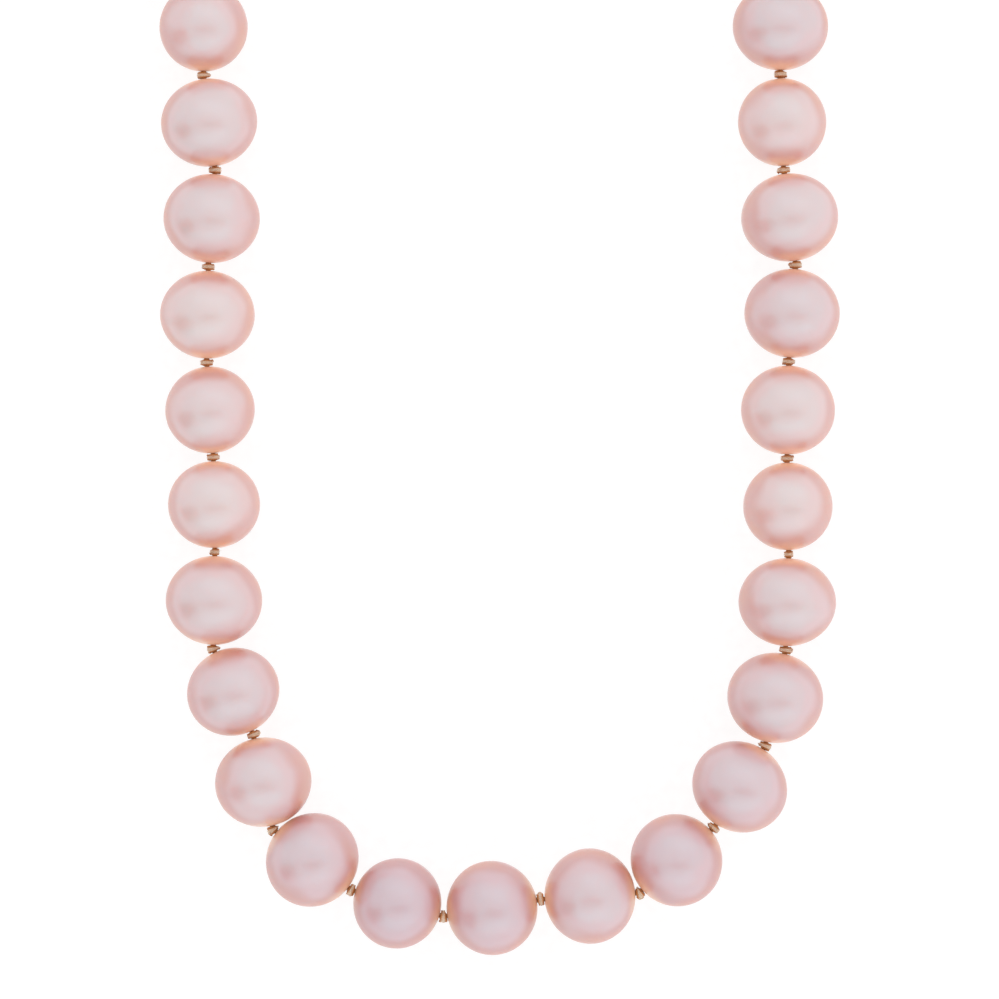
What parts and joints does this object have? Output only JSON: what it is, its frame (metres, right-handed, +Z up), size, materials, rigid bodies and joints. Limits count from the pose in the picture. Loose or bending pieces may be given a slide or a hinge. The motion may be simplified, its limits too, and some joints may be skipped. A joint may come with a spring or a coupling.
{
  "type": "pearl necklace",
  "caption": "Single strand of slightly flattened pearls, hand-knotted on silk, with a spring claw clasp and a two-hole end tag, laid open on a flat surface.",
  "frame": {"origin": "on the surface the necklace lies on, under the middle of its bounding box", "axes": "+Z up off the surface; +Y from the middle pearl towards the open ends; +X towards the end with the claw"},
  "size_m": [0.1758, 0.2014, 0.0098],
  "materials": {
    "pearl": "satin nacre, pink with peach rims",
    "silk": "twisted silk thread, beige brown",
    "gold": "polished yellow plating"
  },
  "bodies": {
    "pearl_01": {"pearl_01": "pearl", "tag_loop": "gold"},
    "pearl_02": {"pearl_02": "pearl"},
    "pearl_03": {"pearl_03": "pearl"},
    "pearl_04": {"pearl_04": "pearl"},
    "pearl_05": {"pearl_05": "pearl"},
    "pearl_06": {"pearl_06": "pearl"},
    "pearl_07": {"pearl_07": "pearl"},
    "pearl_08": {"pearl_08": "pearl"},
    "pearl_09": {"pearl_09": "pearl"},
    "pearl_10": {"pearl_10": "pearl"},
    "pearl_11": {"pearl_11": "pearl"},
    "pearl_12": {"pearl_12": "pearl"},
    "pearl_13": {"pearl_13": "pearl"},
    "pearl_14": {"pearl_14": "pearl"},
    "pearl_15": {"pearl_15": "pearl"},
    "pearl_16": {"pearl_16": "pearl"},
    "pearl_17": {"pearl_17": "pearl"},
    "pearl_18": {"pearl_18": "pearl"},
    "pearl_19": {"pearl_19": "pearl"},
    "pearl_20": {"pearl_20": "pearl"},
    "pearl_21": {"pearl_21": "pearl"},
    "pearl_22": {"pearl_22": "pearl"},
    "pearl_23": {"pearl_23": "pearl"},
    "pearl_24": {"pearl_24": "pearl"},
    "pearl_25": {"pearl_25": "pearl"},
    "pearl_26": {"pearl_26": "pearl"},
    "pearl_27": {"pearl_27": "pearl"},
    "pearl_28": {"pearl_28": "pearl"},
    "pearl_29": {"pearl_29": "pearl"},
    "pearl_30": {"pearl_30": "pearl"},
    "pearl_31": {"pearl_31": "pearl"},
    "pearl_32": {"pearl_32": "pearl"},
    "pearl_33": {"pearl_33": "pearl"},
    "pearl_34": {"pearl_34": "pearl"},
    "pearl_35": {"pearl_35": "pearl"},
    "pearl_36": {"pearl_36": "pearl"},
    "pearl_37": {"pearl_37": "pearl"},
    "pearl_38": {"pearl_38": "pearl"},
    "pearl_39": {"pearl_39": "pearl"},
    "pearl_40": {"pearl_40": "pearl"},
    "pearl_41": {"pearl_41": "pearl"},
    "pearl_42": {"pearl_42": "pearl"},
    "pearl_43": {"pearl_43": "pearl"},
    "pearl_44": {"pearl_44": "pearl"},
    "pearl_45": {"pearl_45": "pearl", "claw_loop": "gold"},
    "knot_05": {"knot_05": "silk"},
    "knot_11": {"knot_11": "silk"},
    "knot_17": {"knot_17": "silk"},
    "knot_29": {"knot_29": "silk"},
    "knot_35": {"knot_35": "silk"},
    "knot_41": {"knot_41": "silk"},
    "end_tag": {"end_tag": "gold"},
    "claw": {"claw_body": "gold", "claw_pin": "gold", "claw_spring": "gold"},
    "claw_lever": {"claw_lever": "gold"}
  },
  "joints": [
    {"name": "swing_22", "type": "hinge", "parent": "pearl_23", "child": "pearl_22", "pos_m": [-0.00665, -0.09652, 0.00455], "axis": [0, 0, 1], "range_deg": [-17, 20]},
    {"name": "swing_21", "type": "hinge", "parent": "pearl_22", "child": "pearl_21", "pos_m": [-0.01586, -0.09388, 0.0048], "axis": [0, 0, -1], "range_deg": [-20, 20]},
    {"name": "swing_20", "type": "hinge", "parent": "pearl_21", "child": "pearl_20", "pos_m": [-0.02365, -0.08779, 0.0049], "axis": [0, 0, 1], "range_deg": [-1, 20]},
    {"name": "swing_19", "type": "hinge", "parent": "pearl_20", "child": "pearl_19", "pos_m": [-0.02566, -0.07833, 0.0047], "axis": [0, 0, -1], "range_deg": [-20, 20]},
    {"name": "swing_18", "type": "hinge", "parent": "pearl_19", "child": "pearl_18", "pos_m": [-0.02967, -0.06973, 0.00485], "axis": [0, 0, 1], "range_deg": [-16, 20]},
    {"name": "lift_17", "type": "hinge", "parent": "pearl_18", "child": "knot_17", "pos_m": [-0.0295, -0.06005, 0.00465], "axis": [0.9998, 0.0175, 0], "range_deg": [0, 25]},
    {"name": "swing_17", "type": "hinge", "parent": "knot_17", "child": "pearl_17", "pos_m": [-0.0295, -0.06005, 0.00465], "axis": [0, 0, -1], "range_deg": [-20, 20]},
    {"name": "swing_16", "type": "hinge", "parent": "pearl_17", "child": "pearl_16", "pos_m": [-0.02966, -0.05058, 0.0045], "axis": [0, 0, 1], "range_deg": [-20, 20]},
    {"name": "swing_15", "type": "hinge", "parent": "pearl_16", "child": "pearl_15", "pos_m": [-0.03033, -0.04112, 0.00475], "axis": [0, 0, -1], "range_deg": [-20, 20]},
    {"name": "swing_14", "type": "hinge", "parent": "pearl_15", "child": "pearl_14", "pos_m": [-0.03016, -0.03154, 0.00485], "axis": [0, 0, 1], "range_deg": [-20, 20]},
    {"name": "swing_13", "type": "hinge", "parent": "pearl_14", "child": "pearl_13", "pos_m": [-0.02948, -0.02188, 0.00485], "axis": [0, 0, -1], "range_deg": [-20, 20]},
    {"name": "swing_12", "type": "hinge", "parent": "pearl_13", "child": "pearl_12", "pos_m": [-0.03065, -0.01238, 0.00445], "axis": [0, 0, 1], "range_deg": [-20, 20]},
    {"name": "lift_11", "type": "hinge", "parent": "pearl_12", "child": "knot_11", "pos_m": [-0.03065, -0.0028, 0.00475], "axis": [0.9925, 0.1219, 0], "range_deg": [0, 25]},
    {"name": "swing_11", "type": "hinge", "parent": "knot_11", "child": "pearl_11", "pos_m": [-0.03065, -0.0028, 0.00475], "axis": [0, 0, -1], "range_deg": [-20, 20]},
    {"name": "swing_10", "type": "hinge", "parent": "pearl_11", "child": "pearl_10", "pos_m": [-0.03182, 0.00671, 0.00465], "axis": [0, 0, 1], "range_deg": [-20, 20]},
    {"name": "swing_09", "type": "hinge", "parent": "pearl_10", "child": "pearl_09", "pos_m": [-0.0343, 0.01597, 0.0048], "axis": [0, 0, -1], "range_deg": [-20, 20]},
    {"name": "swing_08", "type": "hinge", "parent": "pearl_09", "child": "pearl_08", "pos_m": [-0.03808, 0.02488, 0.0047], "axis": [0, 0, 1], "range_deg": [-20, 20]},
    {"name": "swing_07", "type": "hinge", "parent": "pearl_08", "child": "pearl_07", "pos_m": [-0.04253, 0.03325, 0.0046], "axis": [0, 0, -1], "range_deg": [-20, 20]},
    {"name": "swing_06", "type": "hinge", "parent": "pearl_07", "child": "pearl_06", "pos_m": [-0.04803, 0.04109, 0.00485], "axis": [0, 0, 1], "range_deg": [-20, 20]},
    {"name": "lift_05", "type": "hinge", "parent": "pearl_06", "child": "knot_05", "pos_m": [-0.05316, 0.0493, 0.00475], "axis": [0.809, 0.5878, 0], "range_deg": [0, 25]},
    {"name": "swing_05", "type": "hinge", "parent": "knot_05", "child": "pearl_05", "pos_m": [-0.05316, 0.0493, 0.00475], "axis": [0, 0, -1], "range_deg": [-20, 20]},
    {"name": "swing_04", "type": "hinge", "parent": "pearl_05", "child": "pearl_04", "pos_m": [-0.05879, 0.05705, 0.00455], "axis": [0, 0, 1], "range_deg": [-20, 20]},
    {"name": "swing_03", "type": "hinge", "parent": "pearl_04", "child": "pearl_03", "pos_m": [-0.06455, 0.06471, 0.0047], "axis": [0, 0, -1], "range_deg": [-20, 20]},
    {"name": "swing_02", "type": "hinge", "parent": "pearl_03", "child": "pearl_02", "pos_m": [-0.06972, 0.07266, 0.0048], "axis": [0, 0, 1], "range_deg": [-20, 20]},
    {"name": "swing_01", "type": "hinge", "parent": "pearl_02", "child": "pearl_01", "pos_m": [-0.07554, 0.08039, 0.00465], "axis": [0, 0, -1], "range_deg": [-20, 20]},
    {"name": "swing_24", "type": "hinge", "parent": "pearl_23", "child": "pearl_24", "pos_m": [0.00307, -0.0948, 0.0048], "axis": [0, 0, 1], "range_deg": [-20, 20]},
    {"name": "swing_25", "type": "hinge", "parent": "pearl_24", "child": "pearl_25", "pos_m": [0.01293, -0.09411, 0.0047], "axis": [0, 0, -1], "range_deg": [-5, 20]},
    {"name": "swing_26", "type": "hinge", "parent": "pearl_25", "child": "pearl_26", "pos_m": [0.02039, -0.08763, 0.0049], "axis": [0, 0, 1], "range_deg": [-20, 20]},
    {"name": "swing_27", "type": "hinge", "parent": "pearl_26", "child": "pearl_27", "pos_m": [0.02552, -0.07942, 0.00485], "axis": [0, 0, -1], "range_deg": [-20, 20]},
    {"name": "swing_28", "type": "hinge", "parent": "pearl_27", "child": "pearl_28", "pos_m": [0.02755, -0.06985, 0.0049], "axis": [0, 0, 1], "range_deg": [-20, 20]},
    {"name": "lift_29", "type": "hinge", "parent": "pearl_28", "child": "knot_29", "pos_m": [0.02788, -0.06028, 0.0045], "axis": [0.9998, 0.0175, 0], "range_deg": [0, 25]},
    {"name": "swing_29", "type": "hinge", "parent": "knot_29", "child": "pearl_29", "pos_m": [0.02788, -0.06028, 0.0045], "axis": [0, 0, -1], "range_deg": [-20, 20]},
    {"name": "swing_30", "type": "hinge", "parent": "pearl_29", "child": "pearl_30", "pos_m": [0.02772, -0.0507, 0.00475], "axis": [0, 0, 1], "range_deg": [-20, 20]},
    {"name": "swing_31", "type": "hinge", "parent": "pearl_30", "child": "pearl_31", "pos_m": [0.02789, -0.04102, 0.0048], "axis": [0, 0, -1], "range_deg": [-20, 20]},
    {"name": "swing_32", "type": "hinge", "parent": "pearl_31", "child": "pearl_32", "pos_m": [0.02856, -0.03137, 0.0049], "axis": [0, 0, 1], "range_deg": [-20, 20]},
    {"name": "swing_33", "type": "hinge", "parent": "pearl_32", "child": "pearl_33", "pos_m": [0.02739, -0.02186, 0.00445], "axis": [0, 0, -1], "range_deg": [-20, 20]},
    {"name": "swing_34", "type": "hinge", "parent": "pearl_33", "child": "pearl_34", "pos_m": [0.02706, -0.01228, 0.0048], "axis": [0, 0, 1], "range_deg": [-20, 20]},
    {"name": "lift_35", "type": "hinge", "parent": "pearl_34", "child": "knot_35", "pos_m": [0.02706, -0.0027, 0.0047], "axis": [0.9945, -0.1045, 0], "range_deg": [0, 25]},
    {"name": "swing_35", "type": "hinge", "parent": "knot_35", "child": "pearl_35", "pos_m": [0.02706, -0.0027, 0.0047], "axis": [0, 0, -1], "range_deg": [-20, 20]},
    {"name": "swing_36", "type": "hinge", "parent": "pearl_35", "child": "pearl_36", "pos_m": [0.02807, 0.00692, 0.0046], "axis": [0, 0, 1], "range_deg": [-20, 20]},
    {"name": "swing_37", "type": "hinge", "parent": "pearl_36", "child": "pearl_37", "pos_m": [0.03039, 0.01622, 0.00485], "axis": [0, 0, -1], "range_deg": [-20, 20]},
    {"name": "swing_38", "type": "hinge", "parent": "pearl_37", "child": "pearl_38", "pos_m": [0.03429, 0.02497, 0.00475], "axis": [0, 0, 1], "range_deg": [-20, 20]},
    {"name": "swing_39", "type": "hinge", "parent": "pearl_38", "child": "pearl_39", "pos_m": [0.03888, 0.03326, 0.00465], "axis": [0, 0, -1], "range_deg": [-20, 20]},
    {"name": "swing_40", "type": "hinge", "parent": "pearl_39", "child": "pearl_40", "pos_m": [0.04443, 0.04119, 0.0048], "axis": [0, 0, 1], "range_deg": [-20, 20]},
    {"name": "lift_41", "type": "hinge", "parent": "pearl_40", "child": "knot_41", "pos_m": [0.04965, 0.04923, 0.0047], "axis": [0.809, -0.5878, 0], "range_deg": [0, 25]},
    {"name": "swing_41", "type": "hinge", "parent": "knot_41", "child": "pearl_41", "pos_m": [0.04965, 0.04923, 0.0047], "axis": [0, 0, -1], "range_deg": [-20, 20]},
    {"name": "swing_42", "type": "hinge", "parent": "pearl_41", "child": "pearl_42", "pos_m": [0.05528, 0.05698, 0.00455], "axis": [0, 0, 1], "range_deg": [-20, 20]},
    {"name": "swing_43", "type": "hinge", "parent": "pearl_42", "child": "pearl_43", "pos_m": [0.06137, 0.0645, 0.0048], "axis": [0, 0, -1], "range_deg": [-20, 20]},
    {"name": "swing_44", "type": "hinge", "parent": "pearl_43", "child": "pearl_44", "pos_m": [0.06668, 0.07236, 0.00475], "axis": [0, 0, 1], "range_deg": [-20, 20]},
    {"name": "swing_45", "type": "hinge", "parent": "pearl_44", "child": "pearl_45", "pos_m": [0.07244, 0.08001, 0.0046], "axis": [0, 0, -1], "range_deg": [-20, 20]},
    {"name": "tag_pivot", "type": "hinge", "parent": "pearl_01", "child": "end_tag", "pos_m": [-0.08256, 0.09079, 0.0015], "axis": [0, 0, 1], "range_deg": [-20, 20]},
    {"name": "claw_pivot", "type": "hinge", "parent": "pearl_45", "child": "claw", "pos_m": [0.07967, 0.09033, 0.0015], "axis": [0, 0, 1], "range_deg": [-20, 20]},
    {"name": "lever_open", "type": "hinge", "parent": "claw", "child": "claw_lever", "pos_m": [0.08291, 0.09374, 0.0015], "axis": [0, 0, 1], "range_deg": [0, 18], "stiffness_Nm_per_rad": 0.005, "springref_deg": -20.05}
  ]
}
